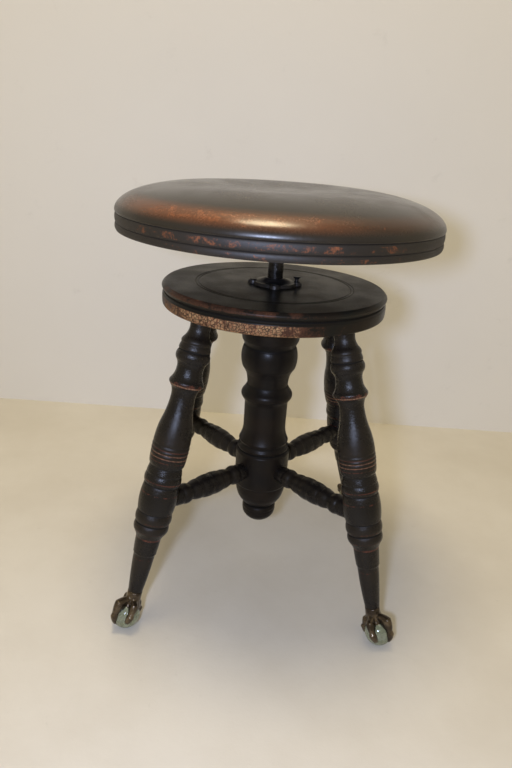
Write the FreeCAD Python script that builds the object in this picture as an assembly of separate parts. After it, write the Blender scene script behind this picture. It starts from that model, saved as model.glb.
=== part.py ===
import FreeCAD, Part
import math
import os
from FreeCAD import Placement, Rotation, Vector

# Revolving piano stool: a turned wooden seat on an iron screw, over a base of
# one turned column and four splayed legs, each ending in a cast claw on a glass ball.
#
# Millimetres, +Z up. The origin is on the floor, on the screw's axis.
# The stool is drawn with the seat screwed right down. Legs stand on the diagonals.

# ---- Driving dimensions ----

SEAT_DIAMETER = 352.6
SEAT_THICKNESS = 49.1          # underside to crown
SEAT_GAP = 56.5                # top of the base disc to the seat's underside, screwed right down

DISC_DIAMETER = 252.6
DISC_THICKNESS = 24.6
DISC_TOP = 372.9               # top of the base disc above the floor

COLUMN_BODY_DIAMETER = 52.4    # the plain cylinder in the middle of the column
HUB_DIAMETER = 67.2            # the column where the stretchers enter it
COLUMN_FOOT = 59.0             # lowest point of the column's knob above the floor

LEG_TOP_REACH = 103.9          # axis of a leg from the stool's axis, at the disc's underside
FOOT_REACH = 203.5             # centre of a glass ball from the stool's axis
BALL_DIAMETER = 31.2
BALL_OUTSET = 5.7              # the ball sits this much further out than the leg's own axis
LEG_BARREL_DIAMETER = 42.2     # the leg where a stretcher enters it
LEG_TOE_DIAMETER = 16.4        # the leg's lower end, where the casting takes over

STRETCHER_HUB_HEIGHT = 139.0   # stretcher's axis above the floor, at the stool's axis
STRETCHER_LEG_HEIGHT = 144.4   # and at the leg's axis
STRETCHER_DIAMETER = 27.0      # at the middle

SCREW_DIAMETER = 17.5          # smooth shank
THREAD_DIAMETER = 16.9         # over the crests, just under the shank
SCREW_TRAVEL = 100.0
NUT_LENGTH = 30.0              # hub top to the lower end of the sleeve
NUT_RISE = 7.2                 # hub top above the base disc
NUT_LOBE_REACH = 30.5
PLATE_DIAMETER = 92.0          # the seat plate, screwed under the seat
PLATE_THICKNESS = 4.5
PLATE_HUB_HEIGHT = 20.0        # its hub, from the seat's underside down
PLATE_HUB_DIAMETER = 25.0
CROSS_PIN_DIAMETER = 4.8
CROSS_PIN_PROUD = 0.3          # what the pin shows at each side of the hub

# ---- Fits ----

RUNNING_FIT = 0.06             # radial, thread crests in the nut
SLEEVE_FIT = 0.25              # radial, nut sleeve in the column's bore
BORE_ROOM = 1.5                # radial, stop washer in the column's bore

# ---- Joinery ----

COLUMN_TENON_DIAMETER = 42.0   # goes right through the base disc, under the nut's flange
LEG_TENON_DIAMETER = 19.0
LEG_TENON_LENGTH = 17.0
STRETCHER_TENON_DIAMETER = 13.0
STRETCHER_TENON_DEPTH = 11.0   # how far it goes into the leg and into the column's hub
LEG_SPARE = 8.0                # sawn off the leg's head, level with the disc's underside
TOE_TENON_DIAMETER = 9.0
TOE_TENON_LENGTH = 9.0
BALL_FLAT_DIAMETER = 6.0       # worn flat that each ball stands on
WOOD_SCREW_DIAMETER = 4.5
WOOD_SCREW_HEAD = 8.6
WOOD_SCREW_LENGTH = 20.0
PROUD_SCREW_RISE = 5.5         # one screw of the nut has backed out by this much

# ---- Derived ----

seat_radius = SEAT_DIAMETER / 2
seat_underside = DISC_TOP + SEAT_GAP
seat_top = seat_underside + SEAT_THICKNESS
disc_radius = DISC_DIAMETER / 2
disc_underside = DISC_TOP - DISC_THICKNESS
ball_radius = BALL_DIAMETER / 2
ball_height = math.sqrt(ball_radius ** 2 - (BALL_FLAT_DIAMETER / 2) ** 2)
leg_foot_reach = FOOT_REACH - BALL_OUTSET
lean = math.atan2(leg_foot_reach - LEG_TOP_REACH, disc_underside - ball_height)
nut_top = DISC_TOP + NUT_RISE
nut_bottom = nut_top - NUT_LENGTH
sleeve_radius = THREAD_DIAMETER / 2 + 5.5
bore_radius = sleeve_radius + SLEEVE_FIT
LEG_AZIMUTHS = {"back_right": 45, "back_left": 135, "front_left": 225, "front_right": 315}


def turned(first_radius, cuts):
    """A turned piece on +Z from z = 0. Each cut is (length, end radius, crown):
    a straight taper, or an arc whose middle stands crown proud of the straight line."""
    radius, z = first_radius, 0.0
    edges = [Part.makeLine(Vector(0, 0, 0), Vector(radius, 0, 0))]
    for length, end_radius, crown in cuts:
        a, b = Vector(radius, 0, z), Vector(end_radius, 0, z + length)
        if crown:
            along = b - a
            out = Vector(along.z, 0, -along.x).normalize()
            edges.append(Part.Arc(a, (a + b) * 0.5 + out * crown, b).toShape())
        else:
            edges.append(Part.makeLine(a, b))
        radius, z = end_radius, z + length
    if radius > 0.01:
        edges.append(Part.makeLine(Vector(radius, 0, z), Vector(0, 0, z)))
    edges.append(Part.makeLine(Vector(0, 0, z), Vector(0, 0, 0)))
    face = Part.Face(Part.Wire(edges))
    return face.revolve(Vector(0, 0, 0), Vector(0, 0, 1), 360)


def length_of(cuts):
    return sum(cut[0] for cut in cuts)


def pointing(shape, start, direction):
    """Moves a piece made on +Z so that it starts at a point and runs along a direction."""
    placed = shape.copy()
    placed.Placement = Placement(start, Rotation(Vector(0, 0, 1), direction))
    return placed


def rod(radius, start, end):
    run = end - start
    return Part.makeCylinder(radius, run.Length, start, run)


def around(shape, degrees):
    turned_copy = shape.copy()
    turned_copy.rotate(Vector(0, 0, 0), Vector(0, 0, 1), degrees)
    return turned_copy


def wood_screw(rise=0.0):
    """A countersunk wood screw pointing down from z = 0, standing proud by rise."""
    head = WOOD_SCREW_HEAD / 2
    shank = WOOD_SCREW_DIAMETER / 2
    cone = head - shank
    cuts = [(WOOD_SCREW_LENGTH - 5 - cone, shank, 0), (cone, head, 0), (0.8, head * 0.8, 0)]
    screw = turned(0.4, [(5, shank, 0)] + cuts)
    screw.translate(Vector(0, 0, rise - length_of([(5, 0, 0)] + cuts) + 0.8))
    return screw


def screw_hole(depth):
    """What one such screw takes out of the wood or iron around it, mouth at z = 0."""
    head = WOOD_SCREW_HEAD / 2
    shank = WOOD_SCREW_DIAMETER / 2
    sink = Part.makeCone(shank, head, head - shank, Vector(0, 0, shank - head))
    return sink.fuse(Part.makeCylinder(shank, depth, Vector(0, 0, -depth)))


# ---- Legs ----
# Leg drawn from the disc's underside down its own axis. The vase swells and the
# lower taper take up whatever length the splay and the heights leave them.

down_leg = Vector(math.sin(lean), 0, -math.cos(lean))
leg_top = Vector(LEG_TOP_REACH, 0, disc_underside)
barrel = LEG_BARREL_DIAMETER / 2
toe = LEG_TOE_DIAMETER / 2

# Distance down the leg to where the stretcher comes into the barrel.
stretcher_down = (disc_underside - STRETCHER_LEG_HEIGHT) / math.cos(lean)
claw_height = ball_height + ball_radius * 1.7
toe_down = (disc_underside - claw_height) / math.cos(lean)

HEAD_CUTS = [
    (12.0, 10.9, 0),       # neck under the disc
    (9.0, 13.6, 0),        # flare
    (3.5, 15.9, 0),
    (10.2, 17.2, 0),       # astragal
    (1.0, 16.3, 0),        # groove
    (1.0, 17.0, 0),
    (10.3, 16.9, 1.5),     # bead
    (10.0, 14.4, 0),       # cove
    (10.8, 17.8, -0.9),
    (6.2, 17.5, 1.2),      # flange, the widest ring of the head
    (3.0, 15.2, 0),
    (10.0, 13.3, 0),       # waist
]
BARREL_CUTS = [
    (3.4, 18.2, 0),        # groove over the rings
    (8.4, barrel - 1.4, 0),
    (12.0, barrel - 1.4, 1.05),   # bead
    (1.2, barrel - 2.0, 0),
    (1.2, barrel - 1.4, 0),
    (6.5, barrel - 0.2, 0),       # barrel, flat where the stretcher enters
    (16.6, barrel - 0.2, 0),
    (6.5, barrel - 1.5, 0),
    (1.2, barrel - 2.1, 0),
    (1.2, barrel - 1.5, 0),
    (10.8, barrel - 1.8, 0.95),   # bead
    (1.0, barrel - 2.4, 0),
    (10.0, barrel - 2.6, 1.05),   # bead
    (8.4, 14.2, 0),               # shoulder down to the shank
]
SHANK_CUTS = [
    (17.6, 13.1, 0),
    (2.6, 12.1, 0),        # little step
]
BARREL_LEAD = length_of(BARREL_CUTS[:5]) + 20.0     # the stretcher enters 20 mm into the barrel

vase_length = stretcher_down - BARREL_LEAD - length_of(HEAD_CUTS)
VASE_CUTS = [
    (vase_length * 0.285, 16.1, 0),
    (vase_length * 0.305, barrel - 1.1, 0.75),
    (vase_length * 0.250, barrel - 0.8, 0),
    (vase_length * 0.160, barrel - 1.7, 0),
]
so_far = length_of(HEAD_CUTS) + vase_length + length_of(BARREL_CUTS) + length_of(SHANK_CUTS)
TAPER_CUTS = [(toe_down - so_far, toe, 0)]

leg_cuts = HEAD_CUTS + VASE_CUTS + BARREL_CUTS + SHANK_CUTS + TAPER_CUTS
head_radius = LEG_BARREL_DIAMETER * 0.2986
leg_body = turned(head_radius, leg_cuts)
# Rough length above the shoulder, sawn off level with the disc's underside.
top_spare = Part.makeCylinder(head_radius, LEG_SPARE, Vector(0, 0, -LEG_SPARE))
leg_body = pointing(leg_body.fuse(top_spare).removeSplitter(), leg_top, down_leg)
saw = 4 * (head_radius + LEG_SPARE)
above_disc = Part.makeBox(saw, saw, saw, Vector(LEG_TOP_REACH - saw / 2, -saw / 2, disc_underside))
leg_body = leg_body.cut(above_disc)

tenon_start = leg_top + down_leg * 6
leg_tenon = rod(LEG_TENON_DIAMETER / 2, tenon_start, leg_top - down_leg * LEG_TENON_LENGTH)
toe_end = leg_top + down_leg * toe_down
toe_tenon = rod(TOE_TENON_DIAMETER / 2, toe_end - down_leg * 2, toe_end + down_leg * TOE_TENON_LENGTH)

# ---- Stretchers ----
# Drawn on the line from the column's axis to the leg's axis, the same both ways
# from the middle; the middle swelling takes up the length that is left.

hub_radius = HUB_DIAMETER / 2
leg_at_stretcher = leg_top + down_leg * stretcher_down
stretcher_from = Vector(0, 0, STRETCHER_HUB_HEIGHT)
stretcher_line = leg_at_stretcher - stretcher_from
along_stretcher = Vector(stretcher_line)
along_stretcher.normalize()
hub_face = stretcher_from + along_stretcher * hub_radius
leg_face = leg_at_stretcher - along_stretcher * (barrel / math.cos(lean))
open_length = (leg_face - hub_face).Length

middle = STRETCHER_DIAMETER / 2
END_CUTS = [
    (9.5, 10.8, 0),
    (4.0, 11.8, 0),        # bead
    (4.5, 11.7, 0),
    (4.0, 10.5, 0),
    (4.0, 10.4, 0),        # groove
    (8.0, 12.3, 0),
    (4.0, 12.1, 0),
    (2.0, 12.7, 0),
]
swell = open_length - 2 * length_of(END_CUTS)
first_end = 9.9
mirrored = [(length, end, crown) for (length, _, crown), end in zip(
    reversed(END_CUTS), [cut[1] for cut in reversed(END_CUTS[:-1])] + [first_end])]
MIDDLE_CUTS = [(swell, 12.7, middle - 12.7)]
SPARE = 9.0
stretcher_cuts = [(SPARE, first_end, 0)] + END_CUTS + MIDDLE_CUTS + mirrored + [(SPARE, first_end, 0)]
stretcher_body = pointing(turned(first_end, stretcher_cuts), hub_face - along_stretcher * SPARE,
                          along_stretcher)
stretcher_tenon = rod(STRETCHER_TENON_DIAMETER / 2,
                      hub_face - along_stretcher * STRETCHER_TENON_DEPTH,
                      leg_face + along_stretcher * STRETCHER_TENON_DEPTH)

leg = leg_body.fuse(leg_tenon).fuse(toe_tenon).cut(stretcher_tenon).removeSplitter()

# ---- Column ----
# Drawn downwards from the disc's underside. The plain cylinder takes up the length
# between the head and the hub, which stays level with the stretchers.

body = COLUMN_BODY_DIAMETER / 2
HEAD_OF_COLUMN = [
    (34.0, 34.5, 0),       # drum under the disc
    (7.0, 33.6, 0),
    (5.6, 30.8, 0),
    (3.4, 31.6, 0),        # groove
    (24.4, 31.6, 2.2),     # bulb
    (9.0, 26.6, 0),
    (13.8, 24.7, -0.5),    # neck
    (8.2, 29.6, 0),
    (9.4, 29.2, 1.75),     # ring bead
    (6.4, 26.3, 0),
]
HUB_OF_COLUMN = [
    (17.5, 30.9, -1.0),    # flare down to the hub
    (3.8, 29.8, 0),        # cove between two rings
    (3.8, 31.5, 0),
    (3.2, 31.9, 0),
    (3.4, 32.4, 0),
    (2.4, hub_radius, 0),
    (42.6, hub_radius, 0),          # hub
    (2.6, 31.9, 0),
    (17.2, 29.9, 0),                # acorn
    (15.4, 20.3, 1.6),
    (3.6, 20.6, 0),                 # neck of the knob
    (8.4, 21.0, 0.85),
    (12.5, 12.5, 2.3),              # knob
    (3.6, 2.5, 0.8),
]
FLARE_TO_HUB_MIDDLE = length_of(HUB_OF_COLUMN[:6]) + HUB_OF_COLUMN[6][0] / 2
plain = disc_underside - length_of(HEAD_OF_COLUMN) - FLARE_TO_HUB_MIDDLE - (
    STRETCHER_HUB_HEIGHT + 0.9)
tail = length_of(HUB_OF_COLUMN) - FLARE_TO_HUB_MIDDLE
# The acorn stretches or shortens so that the knob ends at its own height.
acorn_spare = (STRETCHER_HUB_HEIGHT + 0.9 - COLUMN_FOOT) - tail
HUB_OF_COLUMN[8] = (17.2 + acorn_spare, 29.9, 0)

column = turned(34.5, HEAD_OF_COLUMN + [(plain, body, 0)] + HUB_OF_COLUMN)
column = pointing(column, Vector(0, 0, disc_underside), Vector(0, 0, -1))
column = column.fuse(Part.makeCylinder(COLUMN_TENON_DIAMETER / 2, DISC_THICKNESS + 5,
                                       Vector(0, 0, disc_underside - 5)))
washer_thickness = 3.0
washer_top = nut_bottom - SCREW_TRAVEL
screw_end = washer_top - washer_thickness - 2.5
bore_floor = screw_end - 8
column = column.cut(Part.makeCylinder(bore_radius, DISC_TOP - bore_floor + 1,
                                      Vector(0, 0, bore_floor)))
for azimuth in LEG_AZIMUTHS.values():
    column = column.cut(around(stretcher_tenon, azimuth))

# ---- Base disc ----

band = DISC_THICKNESS * 0.5
disc = turned(disc_radius - 2.2, [
    (2.2, disc_radius, 0),              # lower band, its bottom edge rubbed off
    (band - 2.2, disc_radius, 0),
    (DISC_THICKNESS * 0.25, disc_radius - 0.4, -1.5),   # cove round the edge
    (DISC_THICKNESS * 0.25, disc_radius - 2.9, 1.9),    # upper bead
])
disc.translate(Vector(0, 0, disc_underside))
ring_radius = disc_radius * 0.693
for radius in (ring_radius - 1.7, ring_radius + 1.7):
    outer = Part.makeCone(radius, radius + 0.9, 0.9, Vector(0, 0, DISC_TOP - 0.8))
    inner = Part.makeCone(radius, radius - 0.9, 0.9, Vector(0, 0, DISC_TOP - 0.8))
    disc = disc.cut(outer.cut(inner))      # a fine V-shaped ring cut into the top
disc = disc.cut(Part.makeCylinder(COLUMN_TENON_DIAMETER / 2, DISC_THICKNESS + 2,
                                  Vector(0, 0, disc_underside - 1)))
for azimuth in LEG_AZIMUTHS.values():
    disc = disc.cut(around(leg_tenon, azimuth))

# ---- Nut ----
# A hub with hollow sides runs out into a thin flange with four lobes, one screw in each.

NUT_FLANGE = NUT_RISE * 0.48
flange_radius = NUT_LOBE_REACH * 0.82
lobe_radius = 6.6
lobe_centre = NUT_LOBE_REACH - lobe_radius
roof = turned(flange_radius, [
    (NUT_FLANGE, flange_radius - 0.4, 0),
    (NUT_RISE - NUT_FLANGE, 11.0, -1.2),
])
for azimuth in (0, 90, 180, 270):
    lobe = Part.makeCone(lobe_radius, lobe_radius - 0.4, NUT_FLANGE)
    lobe.translate(Vector(lobe_centre, 0, 0))
    roof = roof.fuse(around(lobe, azimuth))
nut = roof.removeSplitter()
nut.translate(Vector(0, 0, DISC_TOP))
nut = nut.fuse(Part.makeCylinder(sleeve_radius, NUT_LENGTH - NUT_RISE / 2,
                                 Vector(0, 0, nut_bottom)))
nut_bore = THREAD_DIAMETER / 2 + RUNNING_FIT
nut = nut.cut(Part.makeCylinder(nut_bore, NUT_LENGTH + 2, Vector(0, 0, nut_bottom - 1)))
nut_screws = []
for azimuth in (0, 90, 180, 270):
    rise = PROUD_SCREW_RISE if azimuth == 0 else 0.0
    at = Vector(lobe_centre + 0.6, 0, DISC_TOP + NUT_FLANGE)
    hole = screw_hole(WOOD_SCREW_LENGTH)
    hole.translate(at)
    screw = wood_screw(rise)
    screw.translate(at)
    hole, screw = around(hole, azimuth), around(screw, azimuth)
    nut = nut.cut(hole)
    disc = disc.cut(hole)
    column = column.cut(hole)
    nut_screws.append(screw)

# ---- Screw, stop washer, seat plate ----

plate_radius = PLATE_DIAMETER / 2
plate_hub = PLATE_HUB_DIAMETER / 2
shank_top = seat_underside - 1.0
shank = Part.makeCylinder(SCREW_DIAMETER / 2, shank_top - nut_top, Vector(0, 0, nut_top))
thread = Part.makeCylinder(THREAD_DIAMETER / 2, nut_top - washer_top, Vector(0, 0, washer_top))
neck_radius = THREAD_DIAMETER / 2 - 2.4
neck = turned(neck_radius + 2.2, [
    (2.5, neck_radius + 1.4, 0),       # riveted end
    (0.0, neck_radius, 0),
    (washer_thickness, neck_radius, 0),
])
neck.translate(Vector(0, 0, screw_end))
lift_screw = shank.fuse(thread).fuse(neck).removeSplitter()

stop_washer = Part.makeCylinder(bore_radius - BORE_ROOM, washer_thickness,
                                Vector(0, 0, washer_top - washer_thickness))
stop_washer = stop_washer.cut(Part.makeCylinder(neck_radius + RUNNING_FIT, washer_thickness + 2,
                                                Vector(0, 0, washer_top - washer_thickness - 1)))

hub_of_plate = turned(plate_hub, [
    (PLATE_HUB_HEIGHT - PLATE_THICKNESS - 8, plate_hub + 0.5, 0),
    (8.0, plate_hub + 7.5, -2.0),
    (0.0, plate_radius, 0),
    (PLATE_THICKNESS, plate_radius, 0),
])
hub_of_plate.translate(Vector(0, 0, seat_underside - PLATE_HUB_HEIGHT))
seat_flange = hub_of_plate.cut(Part.makeCylinder(
    SCREW_DIAMETER / 2, PLATE_HUB_HEIGHT - 1.0, Vector(0, 0, seat_underside - PLATE_HUB_HEIGHT)))

pin_height = seat_underside - PLATE_HUB_HEIGHT + CROSS_PIN_DIAMETER / 2 + 2.6
pin_end = plate_hub + CROSS_PIN_PROUD
hole_end = 2 * plate_hub
cross_pin = Part.makeCylinder(CROSS_PIN_DIAMETER / 2, 2 * pin_end, Vector(-pin_end, 0, pin_height),
                              Vector(1, 0, 0))
pin_hole = Part.makeCylinder(CROSS_PIN_DIAMETER / 2, 2 * hole_end, Vector(-hole_end, 0, pin_height),
                             Vector(1, 0, 0))
seat_flange = seat_flange.cut(pin_hole)
lift_screw = lift_screw.cut(pin_hole)

# ---- Seat ----

lower_groove = seat_underside + SEAT_THICKNESS * 0.145
upper_groove = seat_underside + SEAT_THICKNESS * 0.352
brow = SEAT_THICKNESS * 0.61            # height of the rounded shoulder over the edge
crown_radius = seat_radius * 0.478
VEE = 1.1


def arc_to(start, end, crown):
    """Arc from one point to the next whose middle stands crown proud, outwards and up."""
    along = end - start
    out = Vector(along.z, 0, -along.x).normalize()
    return Part.Arc(start, (start + end) * 0.5 + out * crown, end).toShape()


# The brow is a quarter oval in three arcs, from the edge up to the crown.
spring = Vector(seat_radius, 0, seat_top - brow)
knee = Vector(seat_radius - (seat_radius - crown_radius) * 0.13, 0, seat_top - brow * 0.51)
haunch = Vector(seat_radius - (seat_radius - crown_radius) * 0.42, 0, seat_top - brow * 0.18)
crown = Vector(crown_radius, 0, seat_top)
DISH = 3.6

EDGE_ROUND = 1.2
bottom_edge = Vector(seat_radius - EDGE_ROUND, 0, seat_underside)
round_bottom = Vector(seat_radius, 0, seat_underside + EDGE_ROUND)
seat_edges = [Part.makeLine(Vector(0, 0, seat_underside), bottom_edge),
              arc_to(bottom_edge, round_bottom, EDGE_ROUND * 0.29)]
at = round_bottom
for height in (lower_groove, upper_groove):
    lip = Vector(seat_radius, 0, height - VEE)
    root = Vector(seat_radius - VEE, 0, height)
    out = Vector(seat_radius, 0, height + VEE)
    seat_edges += [Part.makeLine(at, lip), Part.makeLine(lip, root), Part.makeLine(root, out)]
    at = out
dish_rim = Vector(crown_radius * 0.86, 0, seat_top - DISH * 0.1)
dish_floor = Vector(crown_radius * 0.3, 0, seat_top - DISH)
seat_edges += [
    Part.makeLine(at, spring),
    arc_to(spring, knee, 1.5),
    arc_to(knee, haunch, 1.7),
    arc_to(haunch, crown, 1.1),
    Part.makeLine(crown, dish_rim),
    arc_to(dish_rim, dish_floor, -0.5),
    Part.makeLine(dish_floor, Vector(0, 0, dish_floor.z)),
    Part.makeLine(Vector(0, 0, dish_floor.z), Vector(0, 0, seat_underside)),
]
seat = Part.Face(Part.Wire(seat_edges)).revolve(Vector(0, 0, 0), Vector(0, 0, 1), 360)

flange_screws = []
for azimuth in (45, 135, 225, 315):
    at = Vector(plate_radius - 9, 0, seat_underside - PLATE_THICKNESS)
    screw = wood_screw()
    screw.rotate(Vector(0, 0, 0), Vector(1, 0, 0), 180)
    hole = screw_hole(WOOD_SCREW_LENGTH)
    hole.rotate(Vector(0, 0, 0), Vector(1, 0, 0), 180)
    screw.translate(at)
    hole.translate(at)
    screw, hole = around(screw, azimuth), around(hole, azimuth)
    seat = seat.cut(hole)
    seat_flange = seat_flange.cut(hole)
    flange_screws.append(screw)

# ---- Claw and ball ----
# Worked with the ball's centre at the origin, X outwards from the stool. Four toes
# spring from the wrist and follow great circles of the ball down to their nails.

toe_end_local = Vector(-BALL_OUTSET, 0, 0) - down_leg * (
    (claw_height - ball_height) / math.cos(lean))
WRIST_CUTS = [
    (3.2, toe + 0.2, 0),       # socket round the end of the leg
    (5.0, toe + 0.8, 0),
    (6.0, toe + 1.4, 0),
    (4.0, toe, 0),
]
wrist = pointing(turned(toe + 0.1, WRIST_CUTS), toe_end_local, down_leg)

from_ball = toe_end_local + down_leg * 11.0
from_ball.normalize()

NAIL_DROP = math.radians(12)     # how far below the ball's middle the toes reach
ARCH_STEPS = 6
ROOT_DEPTH = 1.6                 # how deep a toe is drawn into the ball before the seat is cut
# Along a toe: share of the way, height over the ball, half width, bulge. The bulge is
# the high first knuckle of the toe that points away from the stool; the others have less.
TOE_STATIONS = [
    (0.10, 6.3, 4.4, 0.0),
    (0.26, 6.2, 4.3, 2.6),
    (0.41, 6.4, 4.7, 5.6),      # first knuckle
    (0.53, 4.7, 3.9, 3.2),
    (0.62, 3.9, 3.6, 1.0),
    (0.72, 4.8, 4.0, 0.2),      # second knuckle
    (0.86, 2.5, 2.9, 0.0),
    (1.00, 0.9, 1.3, 0.0),      # nail
]
TOE_BULGE = {0: 1.0, 90: 0.45, 180: 0.15, 270: 0.45}


def toe_on_ball(azimuth):
    """One toe: chiselled arches square to a great circle of the ball, joined by a loft."""
    a = math.radians(azimuth)
    tip = Vector(math.cos(a) * math.cos(NAIL_DROP), math.sin(a) * math.cos(NAIL_DROP),
                 -math.sin(NAIL_DROP))
    sweep = math.acos(from_ball.dot(tip))
    side = from_ball.cross(tip)
    side.normalize()
    arches = []
    for share, height, half_width, bulge in TOE_STATIONS:
        out = (from_ball * math.sin((1 - share) * sweep)
               + tip * math.sin(share * sweep)) * (1 / math.sin(sweep))
        base = out * (ball_radius - ROOT_DEPTH)
        rise = height + bulge * TOE_BULGE[azimuth] + ROOT_DEPTH
        arch = [base + side * (half_width * math.cos(t)) + out * (rise * math.sin(t))
                for t in [math.pi * step / ARCH_STEPS for step in range(ARCH_STEPS + 1)]]
        arches.append(Part.makePolygon(arch + [arch[0]]))
    return Part.makeLoft(arches, True, True)


claw = wrist
for azimuth in TOE_BULGE:
    claw = claw.fuse(toe_on_ball(azimuth))
ball = Part.makeSphere(ball_radius)
claw = claw.cut(ball)
claw = claw.cut(rod(TOE_TENON_DIAMETER / 2, toe_end_local - down_leg * 1,
                    toe_end_local + down_leg * TOE_TENON_LENGTH))

ball_below = Part.makeBox(2 * BALL_DIAMETER, 2 * BALL_DIAMETER, BALL_DIAMETER,
                          Vector(-BALL_DIAMETER, -BALL_DIAMETER, -ball_height - BALL_DIAMETER))
glass_ball = ball.cut(ball_below)
at_foot = Vector(FOOT_REACH, 0, ball_height)
claw.translate(at_foot)
glass_ball.translate(at_foot)

# The stretcher's ends are scribed to the round of the hub and of the leg.
hub_round = Part.makeCylinder(hub_radius, 3 * STRETCHER_DIAMETER,
                              Vector(0, 0, STRETCHER_HUB_HEIGHT - 1.5 * STRETCHER_DIAMETER))
stretcher = stretcher_body.cut(leg_body).cut(hub_round)
stretcher = stretcher.fuse(stretcher_tenon).removeSplitter()

# ---- Write the pieces ----

pieces = {
    "seat": seat,
    "seat_flange": seat_flange,
    "seat_flange_screws": Part.Compound(flange_screws),
    "lift_screw": lift_screw,
    "screw_cross_pin": cross_pin,
    "stop_washer": stop_washer,
    "nut_plate": nut,
    "nut_plate_screws": Part.Compound(nut_screws),
    "base_disc": disc,
    "column": column,
}
for name, azimuth in LEG_AZIMUTHS.items():
    pieces["leg_" + name] = around(leg, azimuth)
    pieces["stretcher_" + name] = around(stretcher, azimuth)
    pieces["claw_foot_" + name] = around(claw, azimuth)
    pieces["glass_ball_" + name] = around(glass_ball, azimuth)

os.makedirs("parts", exist_ok=True)
for name, shape in pieces.items():
    shape.exportStep("parts/" + name + ".step")
    box = shape.BoundBox
    print("%-26s solids %d valid %s volume %9.0f  x %.1f..%.1f z %.1f..%.1f" % (
        name, len(shape.Solids), shape.isValid(), shape.Volume,
        box.XMin, box.XMax, box.ZMin, box.ZMax))
print("lean %.2f deg, plain %.1f, vase %.1f, swell %.1f, acorn spare %.1f, taper %.1f" % (
    math.degrees(lean), plain, vase_length, swell, acorn_spare, TAPER_CUTS[0][0]))
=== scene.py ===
# %% [markdown]
# # A revolving piano stool
# The stool is a round dished seat on an iron screw. Below it a turned column hangs from
# a round base, and four splayed legs end in iron claws that grip glass balls. Almost
# everything was made on a lathe, so almost every surface here is a profile that is
# turned round an axis, worked out with numpy as whole arrays.

import math

import bmesh
import bpy
import numpy as np
from mathutils import Euler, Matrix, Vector


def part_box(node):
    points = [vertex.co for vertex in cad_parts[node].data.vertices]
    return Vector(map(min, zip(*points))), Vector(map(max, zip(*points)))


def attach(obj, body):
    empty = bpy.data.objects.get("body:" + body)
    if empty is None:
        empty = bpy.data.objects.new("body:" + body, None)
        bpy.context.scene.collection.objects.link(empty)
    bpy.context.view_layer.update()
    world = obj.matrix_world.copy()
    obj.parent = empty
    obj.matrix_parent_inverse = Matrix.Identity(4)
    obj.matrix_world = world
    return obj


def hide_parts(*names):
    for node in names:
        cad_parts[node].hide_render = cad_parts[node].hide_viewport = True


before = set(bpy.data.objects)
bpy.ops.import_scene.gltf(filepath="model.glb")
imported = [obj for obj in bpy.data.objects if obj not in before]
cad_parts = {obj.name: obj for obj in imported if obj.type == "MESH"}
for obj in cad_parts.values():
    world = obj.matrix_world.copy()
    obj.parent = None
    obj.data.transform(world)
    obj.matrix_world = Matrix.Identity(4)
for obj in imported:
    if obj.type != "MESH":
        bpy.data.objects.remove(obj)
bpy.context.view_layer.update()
MM = 0.001

# %% [markdown]
# ## The camera
# The camera stands a step away and a little over half a metre up, looking down at the
# stool. Its place, turn and lens were fitted to the round edges and the feet, so it comes
# first.

# %% Camera
EYE = (-0.0115, -0.6848, 0.5250)
TURN = (67.978, -3.503, 1.606)
LENS = 28.55                 # mm on a sensor 36 mm high

camera_data = bpy.data.cameras.new("view")
camera_data.lens = LENS
camera_data.sensor_width = 36.0
camera = bpy.data.objects.new("view", camera_data)
camera.location = EYE
camera.rotation_euler = Euler([math.radians(a) for a in TURN], "XYZ")
bpy.context.scene.collection.objects.link(camera)
bpy.context.scene.camera = camera
print("camera at", EYE, "lens", LENS)

# %% [markdown]
# ## Shader maths as Python
# A finish is a sum of masks. Written with nodes alone such a sum is hard to read, so a
# small class wraps a socket and lets + - * and / add the Math node. Every other node
# comes from one method, `node`.

# %% Shader helpers
class Wire:
    """A shader socket in an expression. Each operator adds the Math node that does it."""

    def __init__(self, finish, socket):
        self.finish, self.socket = finish, socket

    def __add__(self, other):
        return self.finish.maths("ADD", self, other)

    def __sub__(self, other):
        return self.finish.maths("SUBTRACT", self, other)

    def __rsub__(self, other):
        return self.finish.maths("SUBTRACT", other, self)

    def __mul__(self, other):
        return self.finish.maths("MULTIPLY", self, other)

    def __truediv__(self, other):
        return self.finish.maths("DIVIDE", self, other)


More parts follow.
